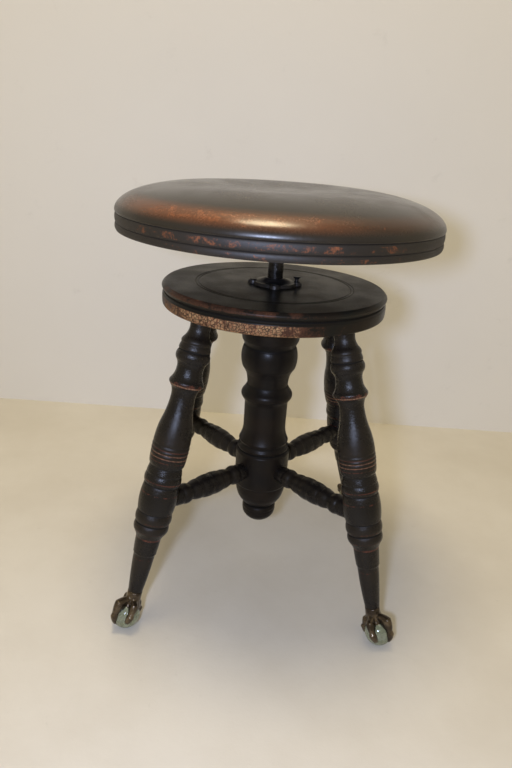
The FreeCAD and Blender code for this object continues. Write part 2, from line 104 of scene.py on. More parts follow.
class Finish:
    """A material under construction."""

    def __init__(self, name):
        self.material = bpy.data.materials.new(name)
        self.material.use_nodes = True
        self.tree = self.material.node_tree
        self.tree.nodes.clear()

    def node(self, kind, inputs, out=0, **settings):
        """Any node: its type, its inputs by name or number, and its settings."""
        made = self.tree.nodes.new("ShaderNode" + kind)
        for key, value in settings.items():
            setattr(made, key, value)
        for key, value in inputs.items():
            socket = made.inputs[key]
            if isinstance(value, Wire):
                self.tree.links.new(value.socket, socket)
            elif socket.type == "RGBA":
                socket.default_value = (*value, 1)
            else:
                socket.default_value = value
        return Wire(self, made.outputs[out]) if made.outputs else None

    def maths(self, operation, *values):
        return self.node("Math", dict(enumerate(values)), operation=operation)

    def ramp(self, value, low, high, to_low=0.0, to_high=1.0):
        """Runs smoothly from to_low to to_high while value goes from low to high."""
        return self.node("MapRange", {"Value": value, "From Min": low, "From Max": high,
                                      "To Min": to_low, "To Max": to_high},
                         interpolation_type="SMOOTHSTEP")

    def blend(self, mask, under, over):
        """A colour that goes from under to over with the mask."""
        return self.node("Mix", {0: mask, 6: under, 7: over}, out=2, data_type="RGBA")

    def noise(self, where, scale, detail, rough, distort=0.0):
        return self.node("TexNoise", {"Vector": where, "Scale": scale, "Detail": detail,
                                      "Roughness": rough, "Distortion": distort})

    def stretched(self, where, scale):
        """Coordinates pulled out along an axis, for grain and lathe marks."""
        return self.node("Mapping", {"Vector": where, "Scale": scale})

    def attribute(self, name, out="Fac"):
        return self.node("Attribute", {}, out=out, attribute_name=name)

    def surface(self, colour, roughness, height, depth, **fixed):
        """Closes the material: a bump, one principled shader and the output."""
        bump = self.node("Bump", {"Height": height, "Distance": depth, "Strength": 1.0})
        shader = self.node("BsdfPrincipled", {"Base Color": colour, "Roughness": roughness,
                                              "Normal": bump, **fixed})
        self.node("OutputMaterial", {"Surface": shader})
        return self.material


print("shader helpers ready")

# %% [markdown]
# ## Turned work
# A turned piece is a list of cuts: how long a cut is along the axis, the radius where it
# ends, and how far its middle bulges out (a bead) or in (a cove). The profile is walked
# in even steps and then rubbed, which rounds every edge as years of hands and polish do.
# Each vertex also keeps two things for the finishes: its place on the lathe, so that
# grain follows the piece however it leans, and how far it stands proud of what is round
# it, because that is where varnish wears off first.

# %% Turned profiles and surfaces
def profile_of(first_radius, cuts, step=0.6, rub=0.35):
    """Distance along the axis and radius, in mm. A cut with a bulge is an arc of a
    parabola on its chord: radius = chord + 4 * bulge * t * (1 - t)."""
    along, radius = [np.zeros(1)], [np.full(1, first_radius)]
    s, r = 0.0, first_radius
    for length, end_radius, bulge in cuts:
        t = np.linspace(0, 1, max(2, int(math.ceil(length / step)) + 1))[1:]
        along.append(s + length * t)
        radius.append(r + (end_radius - r) * t + 4 * bulge * t * (1 - t))
        s, r = s + length, end_radius
    along, radius = np.concatenate(along), np.concatenate(radius)
    even = np.linspace(0, s, int(s / step) + 1)
    return even, rubbed(np.interp(even, along, radius), step, rub)


def rubbed(values, step, width):
    """Values smoothed with a bell curve of that width, the ends held."""
    reach = int(math.ceil(3 * width / step))
    bell = np.exp(-0.5 * (np.arange(-reach, reach + 1) * step / width) ** 2)
    padded = np.concatenate([np.full(reach, values[0]), values, np.full(reach, values[-1])])
    return np.convolve(padded, bell / bell.sum(), "valid")


def ripple(places, size, seed):
    """A smooth random field: a sum of twelve sine waves in random directions."""
    rng = np.random.default_rng(seed)
    waves = rng.normal(size=(12, 3)) / size
    phases = rng.uniform(0, 2 * np.pi, 12)
    return np.sin(places @ waves.T + phases).sum(-1) / 12 ** 0.5 * 0.7


def grid_piece(name, points, extras=None, ring=False):
    """A mesh from a grid of points: rows along the piece, columns round it. Two caps close
    the ends with a fan about the middle of their row; a ring has no ends, its last row
    joins its first. The extras become point attributes."""
    rows, columns = points.shape[:2]
    left = np.arange(rows * columns).reshape(rows, columns)
    right = np.roll(left, -1, 1)
    corners, fans = points.reshape(-1, 3), []
    if ring:
        left, right = np.vstack([left, left[:1]]), np.vstack([right, right[:1]])
    else:
        for row, flip in ((left[0], True), (left[-1], False)):
            middle = np.full(columns, len(corners))
            corners = np.vstack([corners, corners[row].mean(0)])
            fan = np.stack([row, np.roll(row, -1), middle], -1)
            fans += (fan[:, ::-1] if flip else fan).tolist()
    quads = np.stack([left[:-1], right[:-1], right[1:], left[1:]], -1).reshape(-1, 4)
    mesh = bpy.data.meshes.new(name)
    mesh.from_pydata(corners * MM, [], quads.tolist() + fans)
    for key, values in (extras or {}).items():
        wide = values.reshape(rows * columns, -1)
        if not ring:
            wide = np.vstack([wide, wide[:1], wide[-1:]])
        kind, field = ("FLOAT_VECTOR", "vector") if wide.shape[1] == 3 else ("FLOAT", "value")
        mesh.attributes.new(key, kind, "POINT").data.foreach_set(
            field, wide.astype(np.float32).ravel())
    mesh.shade_smooth()
    mesh.update()
    piece = bpy.data.objects.new(name, mesh)
    bpy.context.scene.collection.objects.link(piece)
    return piece


def turned(name, profile, start, toward, columns=72, uneven=0.08, seed=1, bore=(),
           shift=0.0):
    """A surface of revolution: point = start + axis * s + radius * (cos a, sin a). The
    radius also wanders a little with a random field, as old hand-turned wood does. A
    bore's (distance, radius) pairs come first, from its floor out to the profile. A shift
    moves each ring along the axis, and its marks go with it."""
    along, radius = profile
    proud = radius - rubbed(radius, along[1] - along[0], 2.6)
    if bore:
        before = np.array(bore, float)
        along, radius = (np.concatenate(pair) for pair in
                         ((before[:, 0], along), (before[:, 1], radius)))
        proud = np.concatenate([np.zeros(len(before)), proud])
    axis = np.array(toward, float) / np.linalg.norm(toward)
    side = np.cross(axis, (0.0, 1.0, 0.0) if abs(axis[1]) < 0.9 else (1.0, 0.0, 0.0))
    side /= np.linalg.norm(side)
    other = np.cross(axis, side)
    angle = np.linspace(0, 2 * np.pi, columns, endpoint=False)
    out = np.cos(angle)[:, None] * side + np.sin(angle)[:, None] * other
    lathe = np.stack(np.broadcast_arrays(radius[:, None] * np.cos(angle),
                                         radius[:, None] * np.sin(angle),
                                         along[:, None]), -1)
    worn = radius[:, None] - uneven * (1 + ripple(lathe, 9.0, seed))
    points = (np.array(start, float) + (along + shift)[:, None, None] * axis
              + worn[..., None] * out)
    proud = np.repeat(proud[:, None], columns, 1)
    return grid_piece(name, points, {"lathe": lathe * MM, "proud": proud})


print("turning helpers ready")

# %% [markdown]
# ## Aged black varnish
# The stool was stained red-brown and finished with a black varnish. Where hands and feet
# rub, first the black thins to red-brown, then the varnish flakes off bare tan wood, in
# small patches with a net of fine black cracks. Grooves and hollows are coloured darker and
# made duller. One recipe makes every wooden piece: it adds up a wear figure from how proud a
# point stands, from noise, and from rings where the real piece is worn, and then two
# thresholds turn that figure into thin and bare varnish.

# %% The varnish recipe
BLACK = (0.0075, 0.0062, 0.0055)
BROWN = (0.0135, 0.0095, 0.0065)
RED_BROWN = (0.105, 0.030, 0.018)
TAN = (0.32, 0.20, 0.125)
RUST = (0.19, 0.080, 0.040)
STAINED = (0.150, 0.048, 0.017)
# The near-black colour that hollows and grooves are darkened towards.
HOLLOW_DARK = (0.003, 0.0027, 0.0025)
THIN_AT, BARE_AT = 0.34, 0.66      # wear figures at which the varnish thins and flakes
RELIEF = 0.0003                    # metres from bare wood to the top of the varnish's bumps


def ringed(f, along, rings):
    """Wear in rings: amount * a bell that falls to nothing half_width away from place.
    Places and widths are mm along the lathe's axis."""
    total = None
    for place, half_width, amount in rings:
        away = f.maths("ABSOLUTE", along - place * MM)
        bell = f.ramp(away, half_width * MM, 0.2 * half_width * MM, 0.0, amount)
        total = bell if total is None else total + bell
    return total


def varnished(name, edge, rings=(), extra=None, gloss=(0.22, 0.42), base=BLACK,
              thinned=RED_BROWN, tan=TAN, shine=0.2, crazing=1.0, dull=None,
              cells_per_metre=460.0, stain=None):
    """Black varnish that thins and flakes with wear. edge is how much a proud edge wears;
    extra, dull and stain, functions of the finish and the lathe coordinates, add wear,
    roughness and a smooth show of the wood through the black by place."""
    f = Finish(name)
    lathe = f.attribute("lathe", out="Vector")
    proud = f.attribute("proud")
    along = f.node("SeparateXYZ", {"Vector": lathe}, out="Z")
    grain = f.noise(f.stretched(lathe, (1.0, 1.0, 0.14)), 850, 5, 0.6)
    patches = f.noise(lathe, 65, 5, 0.65, 0.5)
    flecks = f.noise(lathe, 480, 4, 0.72)
    cloud = f.noise(lathe, 24, 3, 0.5)
    crazed = f.noise(lathe, 1150, 3, 0.6)
    wear = f.ramp(proud, 0.1, 1.3) * edge + (patches - 0.5) * 1.05 + (flecks - 0.5) * 0.62
    if rings:
        wear = wear + ringed(f, along, rings)
    if extra:
        wear = wear + extra(f, lathe)
    thin = f.ramp(wear, THIN_AT, THIN_AT + 0.22)
    bare = f.ramp(wear + (grain - 0.5) * 0.45, BARE_AT, BARE_AT + 0.08)
    cells = f.node("TexVoronoi", {"Vector": lathe, "Scale": cells_per_metre,
                                  "Randomness": 1.0}, feature="DISTANCE_TO_EDGE")
    cracks = (1 - f.ramp(cells + (flecks - 0.5) * 0.22, 0.02, 0.14)) * bare
    colour = f.blend(f.ramp(cloud, 0.35, 0.7), base, BROWN)
    if stain:
        colour = f.blend(stain(f, lathe) * f.ramp(grain + flecks, 0.7, 1.3, 0.6, 1.0), colour,
                         STAINED)
    colour = f.blend(thin * f.ramp(grain, 0.2, 0.7, 0.45, 1.0), colour, thinned)
    bared = f.blend(f.ramp(grain + (flecks - 0.5) * 0.8, 0.3, 0.7), tan, RUST)
    colour = f.blend(bare, colour, bared)
    colour = f.blend(cracks * 0.9, colour, BLACK)
    # Hollows and grooves are darkened towards near black and made duller, more the deeper they
    # lie below what is round them.
    hollow_dark = f.ramp(proud, -0.18, -0.75)
    colour = f.blend(hollow_dark, colour, HOLLOW_DARK)
    rough = (f.ramp(cloud + (flecks - 0.5) * 0.7, 0.3, 0.72, *gloss) + bare * 0.22
             + thin * 0.05 + hollow_dark * 0.4)
    if dull:
        rough = rough + dull(f, lathe)
    height = (crazed * 0.34 * crazing + flecks * 0.3 * crazing + grain * 0.12
              + (1 - bare) * 0.55 + cracks * 0.4)
    return f.surface(colour, rough, height, RELIEF, **{"Specular IOR Level": shine})


print("varnish recipe ready")

# %% [markdown]
# ## The legs
# Each leg is one turning: a head with a bead and a flange, a long vase, a barrel between
# two beads where the stretcher enters, and a taper down to the iron foot. The axis runs
# from inside the disc to the iron foot, so one profile serves all four corners.

# %% Legs
AZIMUTHS = {"back_right": 45, "back_left": 135, "front_left": 225, "front_right": 315}
DISC_UNDERSIDE, DISC_TOP = (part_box("base_disc")[i].z / MM for i in (0, 1))
BALL_LOW, BALL_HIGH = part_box("glass_ball_back_right")
BALL_RADIUS = 15.6
BALL_HEIGHT = BALL_HIGH.z / MM - BALL_RADIUS
FOOT_REACH = (BALL_LOW.x + BALL_HIGH.x) / 2 / MM * 2 ** 0.5
LEG_TOP_REACH = 103.9        # where the leg's axis meets the disc's underside
LEG_TENON = 8.0              # how far the leg goes up into the disc
BALL_OUTSET = 5.7            # from the leg's line out to the ball's middle, at its height
LEAN = math.atan2(FOOT_REACH - BALL_OUTSET - LEG_TOP_REACH, DISC_UNDERSIDE - BALL_HEIGHT)
CLAW_HEIGHT = BALL_HEIGHT + BALL_RADIUS * 1.7    # where the leg ends and the iron begins
LEG_LENGTH = (DISC_UNDERSIDE - CLAW_HEIGHT) / math.cos(LEAN)


def outward(azimuth, reach, height):
    """The point at that distance from the axis, in that compass direction."""
    a = math.radians(azimuth)
    return (reach * math.cos(a), reach * math.sin(a), height)


LEG_CUTS = [                    # length, end radius, bulge
    (LEG_TENON, 12.6, 0),
    (12.0, 10.9, -0.3),     # neck under the disc
    (9.0, 13.6, -0.6),      # flare
    (3.5, 15.9, 0.2),
    (3.0, 16.2, 0.3),       # astragal
    (1.0, 15.7, 0),
    (6.5, 17.1, 0.4),
    (1.6, 16.9, -1.0),      # groove
    (10.4, 16.9, 1.6),      # bead
    (1.0, 16.0, 0),
    (9.0, 14.4, -0.7),      # cove
    (10.8, 17.6, -0.8),
    (6.2, 17.6, 1.3),       # flange, the widest ring of the head
    (3.0, 15.2, 0),
    (10.0, 13.3, -0.5),     # waist
    (22.4, 16.1, -0.55),    # vase
    (24.0, 20.0, 0.75),
    (6.0, 20.2, 0.1),
    (1.1, 20.2, -0.8), (3.4, 20.3, 0.35),     # three fine rings
    (1.1, 20.3, -0.8), (3.4, 20.3, 0.35),
    (1.1, 20.3, -0.8),
    (3.4, 20.2, 0.2),
    (9.9, 19.4, 0.3),
    (3.4, 18.2, -0.4),      # groove over the rings
    (7.8, 19.7, 0.1),
    (1.2, 19.5, -0.7),
    (10.2, 19.7, 1.05),     # bead
    (2.6, 19.5, -0.7),
    (30.4, 19.6, 1.45),     # barrel
    (1.2, 19.3, -0.8),
    (1.4, 19.5, 0),
    (10.4, 19.3, 0.95),     # bead
    (2.2, 18.8, -0.7),
    (9.0, 18.5, 1.05),      # bead
    (8.4, 14.2, -0.4),      # shoulder down to the shank
    (17.6, 13.1, 0.15),
    (0.8, 13.3, 0),
    (2.6, 12.1, -0.2),      # little step
]
LEG_CUTS.append((LEG_LENGTH + LEG_TENON - sum(cut[0] for cut in LEG_CUTS), 8.2, 0.4))
leg_profile = profile_of(12.6, LEG_CUTS, 0.55, 0.4)
LEG_RINGS = [                   # place, half width, amount of wear
    (81.5, 1.3, 0.75),      # lower edge of the flange
    (79.0, 4.0, 0.20),
    (141.0, 15.0, 0.21),    # swell of the vase, rubbed red-brown
    (152.5, 0.8, 0.50), (156.8, 0.9, 0.62), (161.4, 0.9, 0.62), (165.9, 0.8, 0.5),
    (159.0, 8.0, 0.26),
    (190.0, 1.2, 0.52), (203.8, 1.2, 0.40),
    (222.0, 16.0, 0.24),    # the barrel
    (237.5, 1.0, 0.40), (249.5, 1.2, 0.36),
    (258.5, 2.4, 0.50),     # lowest bead
    (283.8, 1.3, 0.44),     # little step
]
# The turner cut the front right leg's middle some 5 mm higher than the others'.
RAISED_AT, RAISED_BY = (90, 163, 262, 294, 310), (0, -5.0, -5.5, -1.5, 0)
leg_finish = varnished("leg_varnish", 0.34, LEG_RINGS, shine=0.25, crazing=1.9)
for number, (corner, azimuth) in enumerate(AZIMUTHS.items()):
    down = np.array(outward(azimuth, math.sin(LEAN), -math.cos(LEAN)))
    top = np.array(outward(azimuth, LEG_TOP_REACH, DISC_UNDERSIDE)) - down * LEG_TENON
    raised = (np.interp(leg_profile[0], RAISED_AT, RAISED_BY)
              if corner == "front_right" else 0.0)
    leg = turned("turned_leg_" + corner, leg_profile, top, down, 72, 0.10, 10 + number,
                 shift=raised)
    leg.data.materials.append(leg_finish)
    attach(leg, "base")
    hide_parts("leg_" + corner)
print("leg length %.1f mm, lean %.2f deg" % (LEG_LENGTH, math.degrees(LEAN)))

# %% [markdown]
# ## The stretchers
# Four short turnings tie the legs to the column. They are the same both ways from the
# middle: a bead at each end, two shallow steps and a long swelling between.

# %% Stretchers
HUB_RADIUS = 33.6
HUB_HEIGHT, LEG_HEIGHT = 139.0, 144.4
BARREL_RADIUS = 21.1
stretcher_down = (DISC_UNDERSIDE - LEG_HEIGHT) / math.cos(LEAN)
leg_reach = LEG_TOP_REACH + stretcher_down * math.sin(LEAN)
HALF_END = [
    (9.5, 10.8, 0.2),
    (1.0, 10.4, 0),
    (11.0, 10.4, 1.5),      # bead
    (4.2, 10.3, -0.3),      # groove
    (8.3, 12.2, 0.35),
    (1.0, 11.8, 0),
    (3.4, 12.0, 0.15),
    (1.6, 12.7, 0),
]
run = math.hypot(leg_reach, LEG_HEIGHT - HUB_HEIGHT)
END_IN_HUB, END_IN_LEG = 4.0, 5.0
open_run = run - HUB_RADIUS - BARREL_RADIUS / math.cos(LEAN)
swell = open_run - 2 * sum(cut[0] for cut in HALF_END)
radii = [9.9] + [cut[1] for cut in HALF_END]
mirrored = [(cut[0], before, cut[2]) for cut, before in zip(HALF_END[::-1], radii[-2::-1])]
swelling = [(swell * 0.4, 13.4, 0.35), (swell * 0.2, 13.4, -0.25), (swell * 0.4, 12.7, 0.35)]
STRETCHER_CUTS = ([(END_IN_HUB, 9.9, 0)] + HALF_END + swelling + mirrored
                  + [(END_IN_LEG, 9.9, 0)])
stretcher_profile = profile_of(9.9, STRETCHER_CUTS, 0.5, 0.35)
stretcher_finish = varnished("stretcher_varnish", 0.50, gloss=(0.26, 0.44))
for number, (corner, azimuth) in enumerate(AZIMUTHS.items()):
    toward = np.array(outward(azimuth, leg_reach, LEG_HEIGHT - HUB_HEIGHT)) / run
    start = np.array((0, 0, HUB_HEIGHT)) + toward * (HUB_RADIUS - END_IN_HUB)
    stretcher = turned("turned_stretcher_" + corner, stretcher_profile, start, toward,
                       56, 0.12, 20 + number)
    stretcher.data.materials.append(stretcher_finish)
    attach(stretcher, "base")
    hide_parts("stretcher_" + corner)
print("stretcher %.1f mm long, swelling %.1f mm" % (sum(c[0] for c in STRETCHER_CUTS), swell))

# %% [markdown]
# ## The column
# The column hangs from the disc on the screw's axis. From above it is a tenon that fills
# the disc's hole, a drum, a bulb, a neck with a ring, a plain cylinder, a hub where the
# stretchers enter, and an acorn that ends in a knob. The screw runs in a bore down its
# middle, and the stop washer with it.

# %% Column
COLUMN_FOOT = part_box("column")[0].z / MM
COLUMN_CUTS = [
    (34.0, 34.0, 0),        # drum under the disc
    (7.0, 33.4, 0.3),
    (5.6, 30.8, -0.3),
    (3.4, 31.6, -0.5),      # groove
    (24.4, 31.6, 2.1),      # bulb
    (9.0, 26.6, -0.3),
    (13.8, 24.7, -0.5),     # neck
    (8.2, 29.6, -0.5),
    (9.4, 29.2, 1.75),      # ring bead
    (6.4, 26.3, -0.5),
    (31.8, 26.2, 0),        # plain cylinder
    (17.5, 30.9, -1.0),     # flare down to the hub
    (7.6, 31.5, -1.4),      # cove between two rings
    (3.2, 31.5, 0.5),
    (3.4, 32.6, -0.9),
    (2.4, 33.5, 0.4),
    (42.6, 33.5, 0),        # hub
    (2.6, 31.9, -0.2),
    (13.5, 29.9, 0.6),      # acorn
    (15.4, 20.3, 1.6),
    (3.6, 20.6, -0.5),      # neck of the knob
    (3.9, 21.4, 0.4),
    (1.0, 20.9, -0.4),
    (3.5, 21.0, 0.5),
    (12.5, 12.5, 2.3),      # knob
]
column_drop = DISC_UNDERSIDE - COLUMN_FOOT
COLUMN_CUTS.append((column_drop - sum(cut[0] for cut in COLUMN_CUTS), 2.5, 0.8))
column_finish = varnished("column_varnish", 0.22, gloss=(0.28, 0.42), shine=0.12, crazing=0.6)
TENON_RADIUS, BORE_RADIUS = 20.9, 14.2
BORE_FLOOR = 111.7           # below the disc's underside
tenon = DISC_TOP - DISC_UNDERSIDE - 0.1
column_bore = [(BORE_FLOOR, 0.5), (BORE_FLOOR, BORE_RADIUS), (40, BORE_RADIUS),
               (-tenon, BORE_RADIUS), (-tenon, TENON_RADIUS), (0, TENON_RADIUS)]
column = turned("turned_column", profile_of(34.0, COLUMN_CUTS, 0.6, 0.4),
                (0, 0, DISC_UNDERSIDE), (0, 0, -1), 96, 0.08, 31, column_bore)
column.data.materials.append(column_finish)
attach(column, "base")
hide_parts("column")
print("column ends %.1f mm above the floor" % COLUMN_FOOT)

# %% [markdown]
# ## The base disc
# A flat disc with a fine double ring cut into its top. Its edge has an upper bead, a
# hollow and a flat lower band. The edge is where shoes knock it, so at the front left its
# varnish has flaked off, while the top has kept its black.

# %% Base disc
DISC_RADIUS = 126.3
RING_RADIUS = DISC_RADIUS * 0.693
RING_CUT, RING_WIDTH = 0.8, 0.42
CORNER_ACROSS, CORNER_UP = 3.2, 2.6       # the rounded lower corner
thick = DISC_TOP - DISC_UNDERSIDE
DISC_HOLE = TENON_RADIUS + 0.1


def disc_profile():
    """The disc's section as points (radius, height), from the hole along the underside
    and round the edge to the hole's top edge."""
    lower = thick * 0.5
    t = np.linspace(0, 1, 14)
    flat_to = DISC_RADIUS - CORNER_ACROSS
    underside = np.stack([np.linspace(DISC_HOLE, flat_to, 24), np.zeros(24)], -1)
    corner = np.stack([flat_to + CORNER_ACROSS * np.sin(t * np.pi / 2),
                       CORNER_UP - CORNER_UP * np.cos(t * np.pi / 2)], -1)
    band = np.stack([DISC_RADIUS + 0.25 * np.sin(t * np.pi),
                     CORNER_UP + (lower - CORNER_UP) * t], -1)
    cove = np.stack([DISC_RADIUS - 0.2 * t - 1.7 * np.sin(t * np.pi),
                     lower + thick * 0.24 * t], -1)
    bead = np.stack([DISC_RADIUS - 0.2 - 2.4 * t + 1.9 * np.sin(t * np.pi),
                     thick * 0.74 + thick * 0.26 * t], -1)
    run_in = np.linspace(DISC_RADIUS - 3.4, DISC_HOLE, 300)
    cut = RING_CUT * (np.exp(-((run_in - RING_RADIUS - 1.7) / RING_WIDTH) ** 2)
                      + np.exp(-((run_in - RING_RADIUS + 1.7) / RING_WIDTH) ** 2))
    top = np.stack([run_in, thick - cut], -1)
    return np.concatenate([underside, corner[1:], band[1:], cove[1:], bead[1:], top[1:]])


def swept_section(name, section, base_height, seed=3, proud_width=5, ring=False,
                  columns=240, uneven=0.1):
    """A section of points (radius, height) carried round the stool's axis. How proud a
    point stands is its distance outside the section's own smoothed line."""
    angle = np.linspace(0, 2 * np.pi, columns, endpoint=False)
    radius, height = section[:, :1], section[:, 1:]
    points = np.stack([radius * np.cos(angle), radius * np.sin(angle),
                       np.repeat(height + base_height, columns, 1)], -1)
    drift = uneven * ripple(points, 26.0, seed)
    soft = np.stack([rubbed(section[:, 0], 1.0, proud_width),
                     rubbed(section[:, 1], 1.0, proud_width)], -1)
    lean_in = section - soft
    tangent = np.gradient(section, axis=0)
    normal = np.stack([tangent[:, 1], -tangent[:, 0]], -1)
    normal /= np.linalg.norm(normal, axis=1, keepdims=True) + 1e-9
    proud = np.repeat((lean_in * normal).sum(1)[:, None], columns, 1)
    points[..., 0] += drift * np.cos(angle) * np.clip(radius / 100, 0, 1)
    points[..., 1] += drift * np.sin(angle) * np.clip(radius / 100, 0, 1)
    return grid_piece(name, points, {"lathe": points * MM, "proud": proud}, ring=ring)


def level_and_reach(f, lathe):
    """Height above the floor and distance from the axis, in metres."""
    height = f.node("SeparateXYZ", {"Vector": lathe}, out="Z")
    flat = f.node("Mapping", {"Vector": lathe, "Scale": (1, 1, 0)})
    reach = f.node("VectorMath", {0: flat}, out="Value", operation="LENGTH")
    return height, reach


def facing(f, lathe, reach, azimuth):
    """Cosine of the angle round the stool from a compass direction, 1 straight at it."""
    a = math.radians(azimuth)
    dot = f.node("VectorMath", {0: lathe, 1: (math.cos(a), math.sin(a), 0)}, out="Value",
                 operation="DOT_PRODUCT")
    return dot / reach


def edge_wear(f, lathe):
    """Flaked heavily on the lower band and lightly on the upper bead, most at the front
    left, and hardly at all on the top."""
    height, reach = level_and_reach(f, lathe)
    side = f.ramp(reach, 0.1215, 0.1240)
    bottom = DISC_UNDERSIDE * MM
    band = f.ramp(height, bottom + 0.0125, bottom + 0.0110)
    bead = f.ramp(height, bottom + 0.0185, bottom + 0.0200)
    left = f.ramp(facing(f, lathe, reach, -118), 0.55, 0.93)
    return side * (band * (left * 0.50 + 0.28) + bead * (left * 0.26 + 0.18))


disc_finish = varnished("disc_varnish", 0.1, (), edge_wear, gloss=(0.28, 0.42), shine=0.13,
                        crazing=0.6, base=(0.0095, 0.0098, 0.0080),
                        thinned=(0.068, 0.030, 0.017), tan=(0.36, 0.225, 0.11),
                        cells_per_metre=300.0)
disc = swept_section("turned_disc", disc_profile(), DISC_UNDERSIDE, ring=True)
disc.data.materials.append(disc_finish)
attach(disc, "base")
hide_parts("base_disc")
print("disc %.1f mm across, %.1f mm thick" % (2 * DISC_RADIUS, thick))

# %% [markdown]
# ## The seat
# The seat is one thick turned round: a shallow dish to sit in, a brow that falls in a
# quarter oval, and an edge of three soft bands parted by two V grooves.

# %% Seat
SEAT_LOW, SEAT_HIGH = (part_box("seat")[i].z / MM for i in (0, 1))
SEAT_RADIUS = 176.1
SEAT_THICK = SEAT_HIGH - SEAT_LOW
SEAT_TOP_Z, SEAT_LOW_Z = SEAT_HIGH * MM, SEAT_LOW * MM
GROOVE_DEPTH, BOTTOM_ROUND, DISH_DEPTH = 2.1, 0.9, 3.6


def seat_profile():
    """The seat's section (radius, height), from the underside's middle to the dish's."""
    lower, upper = SEAT_THICK * 0.145, SEAT_THICK * 0.352
    brow, crown = SEAT_THICK * 0.61, SEAT_RADIUS * 0.478
    underside = np.stack([np.linspace(4, SEAT_RADIUS - 4, 30), np.zeros(30)], -1)
    height = np.linspace(0, SEAT_THICK - brow, 120)
    bands = np.zeros_like(height)
    for low, high in ((0, lower), (lower, upper), (upper, SEAT_THICK - brow + 3)):
        t = np.clip((height - low) / (high - low), 0, 1)
        swell_out = -GROOVE_DEPTH + GROOVE_DEPTH * (4 * t * (1 - t)) ** 0.36
        bands = np.where((height >= low) & (height <= high), swell_out, bands)
    bands = np.where(height > upper + 3.4, 0, bands)
    bands = np.where(height < lower / 2, np.maximum(bands, -BOTTOM_ROUND), bands)
    edge = np.stack([SEAT_RADIUS + bands, height], -1)
    quarter = np.linspace(0, np.pi / 2, 60)
    brow_line = np.stack([crown + (SEAT_RADIUS - crown) * np.cos(quarter),
                          SEAT_THICK - brow + brow * np.sin(quarter)], -1)
    inward = np.linspace(crown, 0.6, 50)
    dish = np.stack([inward, SEAT_THICK - DISH_DEPTH * (1 - (inward / crown) ** 2) ** 1.5], -1)
    return np.concatenate([underside, edge, brow_line[1:], dish[1:]])


def brow_band(f, height):
    """One along the steep part of the brow, nothing above and below it."""
    return f.ramp(height, SEAT_TOP_Z - 0.0270, SEAT_TOP_Z - 0.0180) * f.ramp(
        height, SEAT_TOP_Z - 0.0090, SEAT_TOP_Z - 0.0155)


def seat_stain(f, lathe):
    """The black is rubbed thin along the brow, most at the front left."""
    height, reach = level_and_reach(f, lathe)
    left = f.ramp(facing(f, lathe, reach, -112), 0.60, 0.98)
    front = f.ramp(facing(f, lathe, reach, -90), 0.0, 0.8)
    return brow_band(f, height) * (left * 0.70 + front * 0.18 + 0.06)


def seat_wear(f, lathe):
    """Orange-brown along the front left of the brow, red on the middle band, a few flakes
    on the lowest band."""
    height, reach = level_and_reach(f, lathe)
    left = f.ramp(facing(f, lathe, reach, -114), 0.74, 0.99)
    front = f.ramp(facing(f, lathe, reach, -90), 0.35, 0.92)
    middle = f.ramp(height, SEAT_LOW_Z + 0.0080, SEAT_LOW_Z + 0.0095) * f.ramp(
        height, SEAT_LOW_Z + 0.0168, SEAT_LOW_Z + 0.0150)
    lowest = f.ramp(height, SEAT_LOW_Z + 0.0062, SEAT_LOW_Z + 0.0045)
    return (brow_band(f, height) * (left * 0.17 + front * 0.24)
            + front * (middle * 0.35 + lowest * 0.30))


def seat_dullness(f, lathe):
    """The two lower bands are scuffed, so the lamp smears out on them."""
    height, _ = level_and_reach(f, lathe)
    return f.ramp(height, SEAT_LOW_Z + 0.0185, SEAT_LOW_Z + 0.0165) * 0.22 + f.ramp(
        height, SEAT_TOP_Z - 0.020, SEAT_TOP_Z - 0.028) * 0.12


seat_finish = varnished("seat_varnish", 0.0, (), seat_wear, gloss=(0.17, 0.28), shine=0.55,
                        base=(0.010, 0.0075, 0.0068), thinned=(0.23, 0.070, 0.022),
                        tan=(0.25, 0.092, 0.034), crazing=0.30, dull=seat_dullness,
                        stain=seat_stain)
seat = swept_section("turned_seat", seat_profile(), SEAT_LOW, seed=5, proud_width=6)
seat.data.materials.append(seat_finish)
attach(seat, "seat_assembly")
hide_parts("seat")
print("seat %.1f mm across, %.1f mm thick" % (2 * SEAT_RADIUS, SEAT_THICK))

# %% [markdown]
# ## Iron
# The screw, its nut and the seat plate are dark oiled iron. The claws are cast and
# lacquered a bronze brown, clouded with a lighter worn tone. The claws are cast and
# lacquered a bronze brown, worn brighter on the knuckles.

# %% Iron finishes
PIT = (0.004, 0.003, 0.003)


def iron(name, dark, worn, gloss=(0.28, 0.5), metallic=0.85):
    """Dark iron clouded with a worn tone and peppered with fine black pits."""
    f = Finish(name)
    where = f.node("TexCoord", {}, out="Object")
    cloud = f.noise(where, 90, 4, 0.6)
    pits = f.noise(where, 1500, 3, 0.7)
    colour = f.blend(f.ramp(cloud, 0.35, 0.7), dark, worn)
    colour = f.blend(f.ramp(pits, 0.58, 0.72) * 0.6, colour, PIT)
    rough = f.ramp(cloud + (pits - 0.5) * 0.6, 0.3, 0.75, *gloss)
    return f.surface(colour, rough, pits * 0.6 + cloud * 0.4, 0.00012, Metallic=metallic)


iron_finish = iron("dark_iron", (0.012, 0.012, 0.013), (0.035, 0.032, 0.031), metallic=0.6)
steel_finish = iron("worn_screw", (0.015, 0.015, 0.016), (0.05, 0.047, 0.046), (0.22, 0.4))


def give_finish(node, finish):
    """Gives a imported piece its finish."""
    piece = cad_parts[node]
    piece.data.materials.clear()
    piece.data.materials.append(finish)


for node in ("nut_plate", "nut_plate_screws", "seat_flange", "seat_flange_screws"):
    give_finish(node, iron_finish)
for node in ("screw_cross_pin", "stop_washer"):
    give_finish(node, steel_finish)
print("iron finishes on the packed fittings")

# %% [markdown]
# ## The screw
# The upper part is a smooth shank. The rest has a square-shouldered thread of four turns
# to the inch, right-handed, so that turning the seat left lifts it. One formula makes
# it: the radius depends on height less angle, which is what a helix is.

